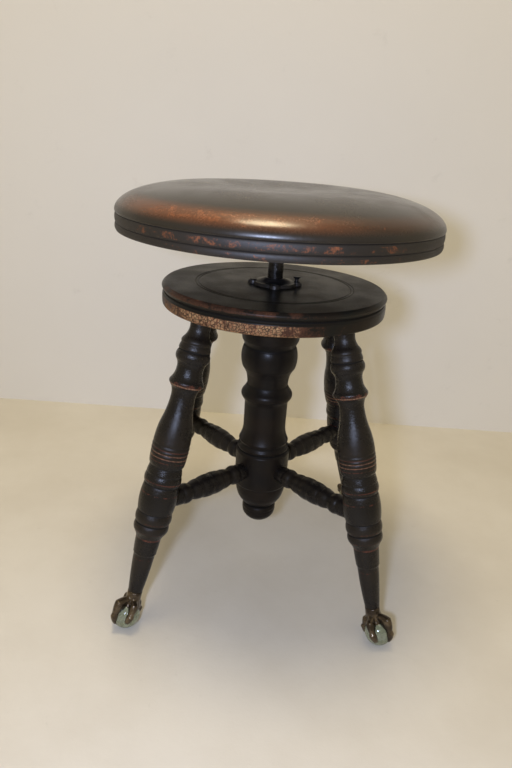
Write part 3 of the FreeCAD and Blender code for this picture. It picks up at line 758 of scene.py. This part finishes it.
# %% Lift screw
PITCH = 6.35
SHANK_RADIUS, THREAD_RADIUS, NECK_RADIUS = 8.75, 8.45, 6.0
ROOT_DEPTH = 1.5
screw_low, screw_high = (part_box("lift_screw")[i].z / MM for i in (0, 1))
nut_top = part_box("nut_plate")[1].z / MM


def screw_points(columns=64, step=0.28):
    """Radius = crest less root depth * groove, where groove is a smooth trapezoid of
    (height / pitch - angle / full turn), faded out at both ends of the thread."""
    height = np.arange(screw_low, screw_high, step)
    angle = np.linspace(0, 2 * np.pi, columns, endpoint=False)
    turn_share = (height[:, None] / PITCH - angle[None] / (2 * np.pi)) % 1.0
    groove = np.clip(3.2 * (np.abs(turn_share - 0.5) - 0.16), 0, 1)
    fade = np.clip((nut_top - 2 - height) / 4, 0, 1) * np.clip((height - screw_low - 6) / 3, 0, 1)
    crest = np.where(height > nut_top, SHANK_RADIUS, THREAD_RADIUS - 0.02)
    crest = np.where(height < screw_low + 5.5, NECK_RADIUS, crest)
    radius = crest[:, None] - ROOT_DEPTH * groove * fade[:, None]
    return np.stack([radius * np.cos(angle), radius * np.sin(angle),
                     np.repeat(height[:, None], columns, 1)], -1)


screw = grid_piece("threaded_screw", screw_points())
screw.data.materials.append(steel_finish)
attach(screw, "seat_assembly")
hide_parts("lift_screw")
print("screw %.1f mm long" % (screw_high - screw_low))

# %% [markdown]
# ## The claws
# A claw is easiest seen from the middle of its glass ball: in every direction the iron
# has one outer distance. Round the leg's end that distance is a cylinder's, under it
# spreads a palm, and along four great circles it is a toe with two knuckles and a nail.
# The highest of these six wins, softly, as wax would. Where nothing reaches past the
# glass there is no iron.

# %% Claws
# All of this is about the ball's middle, with x outward from the stool and z up.
leg_line = np.array((math.sin(LEAN), 0, -math.cos(LEAN)))
toe_end = (np.array((-BALL_OUTSET, 0.0, 0.0))
           - leg_line * ((CLAW_HEIGHT - BALL_HEIGHT) / math.cos(LEAN)))    # the leg's end
from_ball = toe_end + leg_line * 11.0         # toward where the toes part
from_ball /= np.linalg.norm(from_ball)
WRIST_RADIUS = 8.3
PALM_HEIGHT, PALM_SPREAD = 3.4, math.radians(46)
TOE_ROOT = 1.2               # a toe's arched section starts this far inside the glass
SOFTNESS, NO_IRON = 0.8, -6.0
# Share of the way along a toe, height over the glass, bulge, half width. The bulge is the
# high first knuckle of the toe that points away from the stool; the others have less.
TOE_SHARE = (0.00, 0.12, 0.26, 0.40, 0.53, 0.62, 0.72, 0.80, 0.88, 0.96, 1.01)
TOE_HEIGHT = (5.0, 6.0, 6.0, 6.2, 4.5, 3.6, 4.7, 3.5, 2.4, 1.5, -0.5)
BULGE = (0.0, 0.4, 2.8, 5.4, 3.0, 0.9, 0.2, 0.0, 0.0, 0.0, 0.0)
TOE_WIDTH = (5.0, 4.4, 4.3, 4.8, 3.9, 3.6, 4.2, 4.1, 3.8, 3.0, 1.6)
# Which way each toe points from the stool's outward line, how much of the bulge it has,
# and how many degrees under the ball's middle its nail ends. No two castings sit alike.
TOES = {
    "front_right": ((0, 1.0, 17), (104, 0.45, 20), (214, 0.15, 20), (298, 0.45, 14)),
    "front_left": ((2, 1.0, 20), (60, 0.45, 5), (172, 0.0, 20), (265, 0.45, 20)),
    "back_right": ((0, 1.0, 17), (90, 0.45, 18), (180, 0.15, 20), (270, 0.45, 18)),
    "back_left": ((0, 1.0, 17), (86, 0.45, 18), (178, 0.15, 20), (272, 0.45, 18)),
}


def claw_reach(direction, toes):
    """How far iron reaches from the ball's middle in each direction, less the ball.
    Toe = (height + root) * sqrt(1 - (sideways / width) ** 2) - root; wrist = where a ray
    from the middle leaves a cylinder round the leg's line; all joined by a soft maximum."""
    parts = []
    for azimuth, bulge, drop in toes:
        a, d = math.radians(azimuth), math.radians(drop)
        tip = np.array((math.cos(a) * math.cos(d), math.sin(a) * math.cos(d), -math.sin(d)))
        side = np.cross(from_ball, tip)
        side /= np.linalg.norm(side)
        ahead = np.cross(side, from_ball)
        sweep = math.acos(from_ball @ tip)
        across = np.arcsin(np.clip(direction @ side, -1, 1)) * BALL_RADIUS
        share = np.arctan2(direction @ ahead, direction @ from_ball) / sweep
        height = (np.interp(share, TOE_SHARE, TOE_HEIGHT, -4, -4)
                  + bulge * np.interp(share, TOE_SHARE, BULGE))
        width = np.interp(share, TOE_SHARE, TOE_WIDTH, 0.5, 0.5)
        inside = 1 - (across / width) ** 2
        arch = np.sign(inside) * np.abs(inside) ** 0.5
        toe = (np.maximum(height, -1) + TOE_ROOT) * arch - TOE_ROOT
        parts.append(np.where((inside > -3) & (share < 1.03), toe, NO_IRON))
    along = direction @ leg_line
    offset = direction @ toe_end - along * (toe_end @ leg_line)
    gap = toe_end @ toe_end - (toe_end @ leg_line) ** 2 - WRIST_RADIUS ** 2
    square = np.maximum(1 - along ** 2, 1e-4)
    through = (offset + np.sqrt(offset ** 2 - square * gap)) / square
    sawn = (toe_end @ leg_line) / np.minimum(along, -0.05)
    wrist = np.where(along < -0.3, np.minimum(through, sawn) - BALL_RADIUS, NO_IRON)
    lean_off = np.arccos(np.clip(direction @ from_ball, -1, 1))
    palm = PALM_HEIGHT * (1 - (lean_off / PALM_SPREAD) ** 4)
    parts += [wrist, np.maximum(palm, NO_IRON)]
    return SOFTNESS * np.log(sum(np.exp(np.clip(p, -20, 20) / SOFTNESS) for p in parts))


def claw_skins(toes, rows=120, columns=220):
    """A grid of directions about from_ball, down past the nails, with the iron's outer
    distance in each and the inner skin's distance, just under the glass."""
    tilt = np.linspace(0.0, math.radians(146), rows)
    turn = np.linspace(0, 2 * np.pi, columns, endpoint=False)
    u = np.array((from_ball[2], 0, -from_ball[0]))
    v = np.cross(from_ball, u)
    direction = (np.cos(tilt)[:, None, None] * from_ball
                 + np.sin(tilt)[:, None, None] * (np.cos(turn)[:, None] * u
                                                  + np.sin(turn)[:, None] * v))
    inner = BALL_RADIUS - 0.05
    return direction, np.maximum(inner, BALL_RADIUS + claw_reach(direction, toes)), inner


def casting(name, azimuth, toes):
    """The two skins where the iron stands over the glass, welded at the rim."""
    direction, outer, inner = claw_skins(toes)
    rows, columns = outer.shape
    index = np.arange(rows * columns).reshape(rows, columns)
    right = np.roll(index, -1, 1)
    quads = np.stack([index[:-1], index[1:], right[1:], right[:-1]], -1).reshape(-1, 4)
    proud = (outer > inner + 1e-6).ravel()
    quads = quads[proud[quads].any(1)]
    skins = np.concatenate([direction * outer[..., None], direction * inner]).reshape(-1, 3)
    a = math.radians(azimuth)
    turn = np.array(((math.cos(a), -math.sin(a), 0), (math.sin(a), math.cos(a), 0), (0, 0, 1)))
    skins = skins @ turn.T + np.array(outward(azimuth, FOOT_REACH, BALL_HEIGHT))
    faces = np.concatenate([quads, quads[:, ::-1] + rows * columns])
    mesh = bpy.data.meshes.new(name)
    mesh.from_pydata(skins * MM, [], faces.tolist())
    piece = bpy.data.objects.new(name, mesh)
    bpy.context.scene.collection.objects.link(piece)
    weld = bmesh.new()
    weld.from_mesh(mesh)
    bmesh.ops.remove_doubles(weld, verts=weld.verts, dist=1e-6)
    bmesh.ops.delete(weld, geom=[v for v in weld.verts if not v.link_faces], context="VERTS")
    bmesh.ops.recalc_face_normals(weld, faces=weld.faces)
    weld.to_mesh(mesh)
    weld.free()
    mesh.shade_smooth()
    return piece


claw_finish = iron("bronzed_claw", (0.040, 0.030, 0.021), (0.15, 0.115, 0.075), (0.12, 0.28),
                   metallic=0.75)
for corner, azimuth in AZIMUTHS.items():
    claw = casting("cast_claw_" + corner, azimuth, TOES[corner])
    claw.data.materials.append(claw_finish)
    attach(claw, "base")
    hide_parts("claw_foot_" + corner)
print("claw: %d faces" % len(claw.data.polygons))

# %% [markdown]
# ## The glass balls
# Old pressed glass is greenish, a little cloudy and never quite smooth, so the ball is a
# sphere with faint ripples, worn flat underneath where it stands.

# %% Glass balls
def glass_ball(name, azimuth, rows=60, columns=80):
    """Radius = ball radius less a faint ripple, cut level at the floor."""
    polar = np.linspace(0.001, np.pi - 0.001, rows)[:, None]
    turn = np.linspace(0, 2 * np.pi, columns, endpoint=False)
    way = np.stack(np.broadcast_arrays(np.sin(polar) * np.cos(turn),
                                       np.sin(polar) * np.sin(turn), np.cos(polar)), -1)
    radius = BALL_RADIUS - 0.05 - 0.05 * ripple(way * BALL_RADIUS, 5.0, 7)
    points = way * radius[..., None] + np.array(outward(azimuth, FOOT_REACH, BALL_HEIGHT))
    points[..., 2] = np.maximum(points[..., 2], 0.0)
    return grid_piece(name, points[::-1])


glass = Finish("pressed_glass")
where = glass.node("TexCoord", {}, out="Object")
cloud = glass.noise(where, 120, 4, 0.6)
glass_finish = glass.surface(
    glass.blend(glass.ramp(cloud, 0.35, 0.7), (0.28, 0.32, 0.22), (0.42, 0.46, 0.36)),
    glass.ramp(cloud, 0.3, 0.8, 0.06, 0.2), cloud, 0.0003,
    **{"Transmission Weight": 0.6, "IOR": 1.5})
for corner, azimuth in AZIMUTHS.items():
    ball = glass_ball("pressed_ball_" + corner, azimuth)
    ball.data.materials.append(glass_finish)
    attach(ball, "base")
    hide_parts("glass_ball_" + corner)
print("four glass balls")

# %% [markdown]
# ## The room
# A pale floor and a pale wall, a small cool flash beside the camera, a warm lamp overhead
# and a warm room all round. The stage is not part of the stool. Both sheets are clear from
# their backs, so that the stool can be looked at from behind and below.

# %% Floor, wall and lamps
def plain(name, colour, change, scale, roughness=0.6):
    """A cloudy plain colour, clear when seen from the back of its sheet."""
    f = Finish(name)
    where = f.node("TexCoord", {}, out="Object")
    cloud = f.noise(where, scale, 5, 0.6)
    speck = f.noise(where, scale * 14, 4, 0.7)
    tone = f.blend(f.ramp(cloud, 0.3, 0.75), colour, change)
    tone = f.blend(f.ramp(speck, 0.62, 0.8) * 0.25, tone, tuple(c * 0.7 for c in change))
    front = f.node("BsdfPrincipled", {"Base Color": tone, "Roughness": roughness,
                                      "Normal": f.node("Bump", {"Height": speck,
                                                                "Distance": 0.0003})})
    back = f.node("NewGeometry", {}, out="Backfacing")
    clear = f.node("BsdfTransparent", {})
    f.node("OutputMaterial", {"Surface": f.node("MixShader", {0: back, 1: front, 2: clear})})
    return f.material


def sheet(name, corners, finish):
    """One flat face of the stage."""
    mesh = bpy.data.meshes.new(name)
    mesh.from_pydata([tuple(c) for c in corners], [], [(0, 1, 2, 3)])
    piece = bpy.data.objects.new(name, mesh)
    bpy.context.scene.collection.objects.link(piece)
    mesh.materials.append(finish)


WALL_Y, STAGE = 0.446, 3.0
floor_finish = plain("pale_floor", (0.62, 0.595, 0.535), (0.56, 0.53, 0.465), 5.0)
wall_finish = plain("pale_wall", (0.80, 0.79, 0.77), (0.77, 0.76, 0.74), 1.5, 0.8)
sheet("floor", [(-STAGE, -STAGE, 0), (STAGE, -STAGE, 0), (STAGE, WALL_Y, 0),
                (-STAGE, WALL_Y, 0)], floor_finish)
sheet("wall", [(-STAGE, WALL_Y, 0), (STAGE, WALL_Y, 0), (STAGE, WALL_Y, STAGE),
               (-STAGE, WALL_Y, STAGE)], wall_finish)


def lamp(name, place, aim, size, power, colour):
    """A round area lamp at a place, turned to face a point."""
    data = bpy.data.lights.new(name, "AREA")
    data.shape, data.size, data.energy, data.color = "DISK", size, power, colour
    piece = bpy.data.objects.new(name, data)
    piece.location = place
    piece.rotation_euler = (Vector(aim) - Vector(place)).to_track_quat("-Z", "Y").to_euler()
    bpy.context.scene.collection.objects.link(piece)


lamp("flash", (-0.108, -0.787, 0.553), (0, 0, 0.25), 0.07, 5.0, (0.60, 0.70, 1.0))
lamp("ceiling", (-0.15, 0.0, 2.3), (-0.15, -0.05, 0.0), 0.6, 20, (1.0, 0.83, 0.54))
world = bpy.data.worlds.new("room")
bpy.context.scene.world = world
world.use_nodes = True
tree = world.node_tree
tree.nodes.clear()
# The camera sees room_seen, everything else is lit by room_light.
room_light, room_seen = (tree.nodes.new("ShaderNodeBackground") for _ in range(2))
room_light.inputs["Color"].default_value = (1.0, 0.86, 0.60, 1)
room_light.inputs["Strength"].default_value = 0.54
room_seen.inputs["Color"].default_value = (0.60, 0.57, 0.51, 1)
path, mixed, end = (tree.nodes.new("ShaderNode" + kind)
                    for kind in ("LightPath", "MixShader", "OutputWorld"))
for source, target in ((path.outputs["Is Camera Ray"], mixed.inputs[0]),
                       (room_light.outputs[0], mixed.inputs[1]),
                       (room_seen.outputs[0], mixed.inputs[2]),
                       (mixed.outputs[0], end.inputs["Surface"])):
    tree.links.new(source, target)
bpy.context.scene.view_settings.view_transform = "Standard"
print("floor, wall and lamps")
